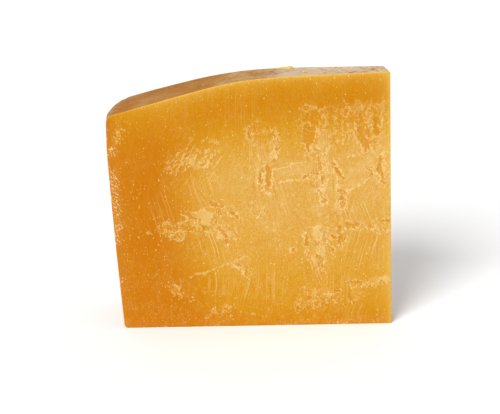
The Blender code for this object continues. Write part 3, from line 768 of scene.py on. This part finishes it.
def shaken(place, scale, detail, reach):
    """Coordinates that a noise moves about, so that what reads them gets crooked edges."""
    push = noise(place, scale, detail, 0.5, 1)
    push = node(place.tree, "ShaderNodeVectorMath", {"operation": "SCALE"}, {0: push, "Scale": reach})
    return node(place.tree, "ShaderNodeVectorMath", {"operation": "ADD"}, {0: push, 1: place})


def stretched(place, factors):
    """Coordinates whose pattern is drawn out along the axes with the smaller factors."""
    return node(place.tree, "ShaderNodeVectorMath", {"operation": "MULTIPLY"}, {0: place, 1: factors})


def turned(place, degrees, wander=0.0, fine=1050, long=20):
    """Coordinates across and along lines that lean by that angle and wander by that much."""
    turn = math.radians(degrees)
    x = node(place.tree, "ShaderNodeSeparateXYZ", None, {0: place})
    z = x.beside("Z")
    across_lines = x * math.cos(turn) + z * math.sin(turn) + wander
    along_lines = z * math.cos(turn) - x * math.sin(turn)
    parts = {0: across_lines * fine, 1: 0.0, 2: along_lines * long}
    return node(place.tree, "ShaderNodeCombineXYZ", None, parts)


def specks_of(place, scale, largest):
    """Round specks of many sizes, one to a cell, of which the smallest are faint."""
    distance = node(place.tree, "ShaderNodeTexVoronoi", None, {"Vector": place, "Scale": scale})
    size = node(place.tree, "ShaderNodeSeparateColor", None, {0: distance.beside("Color")}) * largest
    return between(distance - size, 0.03, -0.06)


# The paste: hard, brittle, dotted with white crystals, and a little translucent. Its tones go from
# the paste beside the rind to the wheel's heart.
PASTE_TONES = [
    (0.00, paint(187, 117, 4)),
    (0.35, paint(193, 134, 9)),
    (0.60, paint(198, 146, 42)),
    (0.80, paint(201, 153, 64)),
    (1.00, paint(203, 160, 80)),
]
HEEL_ORANGE = paint(184, 106, 1)
PAINTED_EDGE_LIGHT_YELLOW = paint(216, 180, 84)
BARK_ORANGE = paint(176, 88, 2)
EDGE_TAN = paint(208, 152, 78)
GRAIN_OCHRE = paint(186, 122, 16)
SMEAR_CREAM = paint(214, 176, 112)
CRUMBLED_TAN = paint(208, 156, 78)
STEP_SHADE_OCHRE = paint(194, 130, 16)
HOLLOW_SHADE_ORANGE = paint(193, 127, 2)
DRAG_OCHRE = paint(189, 122, 12)
CRUST_AND_HIGHLIGHT_NEAR_RIND = paint(212, 174, 92)
CRUST_AND_HIGHLIGHT_AT_HEART = paint(228, 206, 150)
DRAG_LEANS = {"drag_upright": 0, "drag_left": 17, "drag_right": -14}

paste, tree, shader = new_material("cheese_paste")
where = node(tree, "ShaderNodeTexCoord", output=3)
crooked = shaken(where, 1300, 1, 0.0007)
mottle = noise(where, 45)
cloud = noise(where, 190)
shreds = noise(stretched(where, (1, 1, 0.6)), 900, 2)
grain = noise(where, 1500, 2)
tufts = noise(where, 760, 3, 0.6)
jitter = (shreds - 0.5) * 3.2 + (grain - 0.5) * 1.6
aged = attribute(tree, "age")
toward_heel = attribute(tree, "heel_tone")
edge_crumbs = attribute(tree, "crumbs")
oblique = attribute(tree, "oblique")

# The sliced paste: its tone follows its age and the heel is orange; along the top rim and the tip edge a
# bright yellow is painted in as the light that those edges catch and let through.
tone = aged + (mottle - 0.5) * 0.22 + (cloud - 0.5) * 0.2 + (shreds - 0.5) * 0.4 + (grain - 0.5) * 0.8
body = node(tree, "ShaderNodeValToRGB", {"stops": PASTE_TONES}, {0: tone})
body = blend(toward_heel * 0.88, body, HEEL_ORANGE)
body = blend(attribute(tree, "glow") * 0.6, body, PAINTED_EDGE_LIGHT_YELLOW)
body = blend(attribute(tree, "bark") * 0.8, body, BARK_ORANGE)
body = blend(edge_crumbs * 0.15, body, EDGE_TAN)
body = blend(between(grain, 0.52, 0.38) * 0.3, body, GRAIN_OCHRE)

# Smears are milky inside, and a pale line runs along their rims.
smear = attribute(tree, "smear") + jitter * 0.9
milk = attribute(tree, "milk")
milky = between(smear, -0.3, 0.3) * milk
body = blend(milky * (0.55 + (cloud - 0.5) * 1.2), body, SMEAR_CREAM)
smear_rim = between(abs(smear), 0.35, 0.1) * milk

# Hollows are torn: their floors are painted a darker orange as shade, and pale rims are painted along their
# shores as light showing through the thin torn edges.
inside_hollow = attribute(tree, "hollow")
hollow = inside_hollow + jitter * 1.1 + (cloud - 0.5) * 3
torn = between(hollow, -0.1, 0.25)
painted_shore_light = between(hollow, -0.75, -0.35) * (1 - torn) * between(cloud, 0.40, 0.50)

# Where the paste crumbled, chips lift, thin lines run round, and steps have a pale lip, painted as a
# highlight, and an ochre foot, painted as shade. In the oblique place the lips are slanting shards instead.
close = between(inside_hollow + (cloud - 0.5) * 4, -3.5, -0.5) * 0.5
crumbled = most(close, attribute(tree, "crumbled"), between(mottle, 0.40, 0.62) * 0.22)
cells = node(tree, "ShaderNodeTexVoronoi", None, {"Vector": shaken(where, 700, 2, 0.0016), "Scale": 760.0}, 1)
chips = node(tree, "ShaderNodeSeparateColor", None, {0: cells})
lifted = crumbled * between(chips + crumbled * 0.25 + (tufts - 0.5) * 0.8, 0.98, 1.06)
level_lines = noise(where, 150, 4, 0.6) * 5
level_lines = level_lines - level_lines.math("ROUND", level_lines)
level_lines = between(abs(level_lines), 0.06, 0.015)
steps = noise(stretched(crooked, (1, 1, 0.42)), 210, 2, 0.5) * 5
steps = steps.math("FRACT", steps)
shards = between(noise(turned(crooked, -38, 0.0, 560, 150), 1.0, 2, 0.5), 0.55, 0.60)
# Painted light and shade: each step's pale lip stands for its lit edge, and its ochre foot for the shade
# beneath it.
lips = between(steps, 0.26, 0.08) * between(cloud, 0.40, 0.54)
lips = lips + (shards - lips) * oblique
step_shade = between(steps, 0.62, 0.96) * (1 - oblique * 0.6)
body = blend(crumbled * aged * 0.35, body, CRUMBLED_TAN)
body = blend(crumbled * step_shade * 0.65, body, STEP_SHADE_OCHRE)
# Painted shade: the hollows' floors are darkened to a deeper orange.
body = blend(torn * 0.75, body, HOLLOW_SHADE_ORANGE)
outside_hollows = crumbled * (1 - torn * 0.6)
rims = most(
    painted_shore_light * 0.95 * between(tufts, 0.42, 0.50),
    lifted * (1 - torn * 0.4) * 0.7,
    outside_hollows * lips * (0.75 + oblique * 0.25),
    outside_hollows * level_lines * 0.35,
    smear_rim * between(tufts, 0.4, 0.5),
    outside_hollows * specks_of(where, 900, 0.36) * 0.75,
)

# Flakes, the crumbs at the edges, cracks and specks are pale too. The specks are white crystals, and they are
# painted bright as well, to stand in for small glints.
inside_flake = attribute(tree, "flake") + jitter * 0.8
flaked = between(inside_flake, 0.0, 0.3) * (0.3 + between(inside_flake, 0.9, 0.2) * 0.45)
flecks = noise(turned(where, 35, 0.0, 1150, 520), 1.0, 2, 0.5)
crumbly = between(flecks + (edge_crumbs - 1) * 0.26, 0.53, 0.59) * 0.75
split = between(attribute(tree, "crack") + (shreds - 0.5) * 1.6, -0.35, 0.05) * 0.55
# Painted highlight as well as crystals: these pale specks stand in for the small glints that the low specular
# level leaves out.
dots = specks_of(stretched(crooked, (1, 1, 0.65)), 620, 0.24) * 0.9 * between(cloud, 0.38, 0.55)
small_dots = specks_of(crooked, 1000, 0.27) * between(mottle, 0.42, 0.6) * 0.4
large_dots = specks_of(crooked, 330, 0.14) * 0.6
heel_dots = specks_of(stretched(crooked, (1, 1, 0.8)), 520, 0.24) * toward_heel * 0.7
pale = most(rims, flaked, crumbly, split, dots, small_dots, large_dots, heel_dots)

# The drag lines are pale ridges with ochre furrows between them.
for name, lean in DRAG_LEANS.items():
    strands = noise(turned(where, lean, (mottle - 0.5) * 0.004), 1.0, 2)
    strength = attribute(tree, name) + 0.15
    pale = most(pale, between(strands, 0.54, 0.66) * strength * 0.42)
    body = blend(between(strands, 0.47, 0.35) * strength * 0.35, body, DRAG_OCHRE)
# One pale colour serves both the pale flakes, crumbs and cracks and the painted highlights of the lips, the
# shores and the specks.
pale_crust_and_highlight = blend(most(aged, edge_crumbs), CRUST_AND_HIGHLIGHT_NEAR_RIND, CRUST_AND_HIGHLIGHT_AT_HEART)
body = blend(pale * 0.85, body, pale_crust_and_highlight)
bumps = grain * 0.2 + shreds * 0.35 + pale * 0.8 - torn * 0.8 + crumbled * (0.9 - steps * 0.9 + tufts * 0.8)
fill(
    tree,
    shader,
    {
        "Base Color": body,
        "Roughness": 0.42 + pale * 0.2 - torn * 0.08 + (cloud - 0.5) * 0.12,
        "Normal": node(tree, "ShaderNodeBump", None, {"Height": bumps, "Strength": 0.3, "Distance": 0.0003}),
        "Specular IOR Level": 0.045,
        "Subsurface Weight": 0.3,
        "Subsurface Radius": (1.0, 0.5, 0.15),
        "Subsurface Scale": 0.003,
    },
)

# The rind: a brown, fibrous skin, tanned towards the heel, scuffed pale towards the tip and at the
# shoulder, and creased dark.
RIND_TONES = [(0.30, paint(142, 80, 8)), (0.50, paint(172, 116, 28)), (0.68, paint(190, 142, 56))]
RIND_TAN = paint(160, 94, 8)
SCUFF_PALE = paint(212, 192, 166)
CREASE_BROWN = paint(120, 68, 22)

rind, tree, shader = new_material("cheese_rind")
where = node(tree, "ShaderNodeTexCoord", output=3)
blotch = noise(where, 38, 5, 0.6)
fibre = noise(stretched(where, (90, 520, 520)), 1.0, 5, 0.65)
scuff = noise(stretched(where, (300, 900, 900)), 1.0, 5, 0.75)
fine = noise(where, 900)
wear = attribute(tree, "wear")
bloom = attribute(tree, "bloom")
skin = node(tree, "ShaderNodeValToRGB", {"stops": RIND_TONES}, {0: blotch * 0.6 + fibre * 0.4})
skin = blend(attribute(tree, "tan") * 0.5, skin, RIND_TAN)
scuffed = between(scuff + (blotch - 0.5) * 0.5 + wear * 0.10 + bloom * 0.05, 0.50, 0.60)
skin = blend(scuffed * (0.12 + wear * 0.7 + bloom * 0.5), skin, SCUFF_PALE)
skin = blend(between(1 - fibre, 0.58, 0.75) * 0.4, skin, CREASE_BROWN)
bumps = fibre + scuff * 0.6 + fine * 0.3
fill(
    tree,
    shader,
    {
        "Base Color": skin,
        "Roughness": 0.5 + (scuff - 0.5) * 0.3,
        "Normal": node(tree, "ShaderNodeBump", None, {"Height": bumps, "Strength": 0.5, "Distance": 0.0005}),
        "Specular IOR Level": 0.12,
        "Subsurface Weight": 0.08,
        "Subsurface Radius": (1.0, 0.5, 0.2),
        "Subsurface Scale": 0.002,
    },
)

mesh.materials.append(paste)
mesh.materials.append(rind)
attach(cheese, "root")
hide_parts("cheese")

# Loose crumbs of paste that the knife left on the rind: small, broken, pressed flat and dry. Each is
# how far it lies from the tip edge and behind the front cut, its length, depth and height, in mm.
RIND_CRUMBS = [
    (59.8, 24.6, 6.4, 1.6, 1.6), (57.0, 24.0, 4.8, 1.8, 2.2), (63.0, 24.9, 4.4, 1.4, 1.2),
    (47.5, 11.0, 1.8, 1.4, 1.5), (46.2, 10.2, 1.1, 0.9, 0.9), (104.0, 12.0, 0.9, 0.8, 0.7),
]
LUMP_SEED = 29
LUMP_SINK = 0.0002
LUMP_TILT = -0.1
LUMP_YELLOW = paint(212, 178, 72)
LUMP_CREAM = paint(226, 206, 120)

draw = np.random.default_rng(LUMP_SEED)
bpy.ops.object.select_all(action="DESELECT")
crumb_pieces = []
for crumb_across, behind, length, depth, height in RIND_CRUMBS:
    crumb_radius = TIP_RADIUS + crumb_across / 1000
    turn = behind / 1000 / crumb_radius
    middle = (
        axis_x - crumb_radius * math.cos(turn),
        front_y + crumb_radius * math.sin(turn),
        top_height(crumb_radius) - LUMP_SINK,
    )
    bpy.ops.mesh.primitive_ico_sphere_add(subdivisions=2, radius=0.5, location=middle)
    crumb = bpy.context.object
    crumb.scale = (length / 1000, depth / 1000, height / 1000)
    crumb.rotation_euler = (0, LUMP_TILT, draw.uniform(-0.4, 0.2))
    for vertex in crumb.data.vertices:
        vertex.co *= draw.uniform(0.85, 1.12)
    crumb_pieces.append(crumb)
for crumb in crumb_pieces:
    crumb.select_set(True)
bpy.ops.object.join()
crumb_heap = bpy.context.object
crumb_heap.name = "rind_crumbs"
bpy.ops.object.transform_apply(location=True, rotation=True, scale=True)
bpy.ops.object.shade_smooth()
crumb_paste, tree, shader = new_material("crumb_paste")
speckle = noise(node(tree, "ShaderNodeTexCoord", output=3), 900)
fill(
    tree,
    shader,
    {
        "Base Color": blend(between(speckle, 0.4, 0.6), LUMP_YELLOW, LUMP_CREAM),
        "Roughness": 0.5,
        "Subsurface Weight": 0.3,
        "Subsurface Radius": (1.0, 0.5, 0.15),
        "Subsurface Scale": 0.002,
    },
)
crumb_heap.data.materials.append(crumb_paste)
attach(crumb_heap, "root")

# A plain white table, an even white sky, and one large soft light high on the left in front.
TABLE_SIZE = 12
TABLE_WHITE = (0.93, 0.93, 0.93, 1)
SKY_STRENGTH = 0.6
KEY_STRENGTH = 2.7
KEY_SPREAD = math.radians(28)
KEY_SHINES = Vector((0.40, 0.66, -0.64))

bpy.ops.mesh.primitive_plane_add(size=TABLE_SIZE, location=(0, 0, 0))
table = bpy.context.object
table.name = "table"
white, tree, shader = new_material("table_white")
fill(tree, shader, {"Base Color": TABLE_WHITE, "Roughness": 1.0, "Specular IOR Level": 0.0})
table.data.materials.append(white)

world = bpy.data.worlds.new("studio")
world.use_nodes = True
sky = world.node_tree.nodes["Background"]
fill(world.node_tree, sky, {"Color": (1, 1, 1, 1), "Strength": SKY_STRENGTH})
bpy.context.scene.world = world

bpy.ops.object.light_add(type="SUN", location=(-0.7, -1.3, 1.3))
lamp = bpy.context.object
lamp.name = "soft_key"
lamp.data.energy = KEY_STRENGTH
lamp.data.angle = KEY_SPREAD
lamp.rotation_euler = KEY_SHINES.to_track_quat("-Z", "Y").to_euler()
bpy.context.scene.view_settings.view_transform = "Standard"
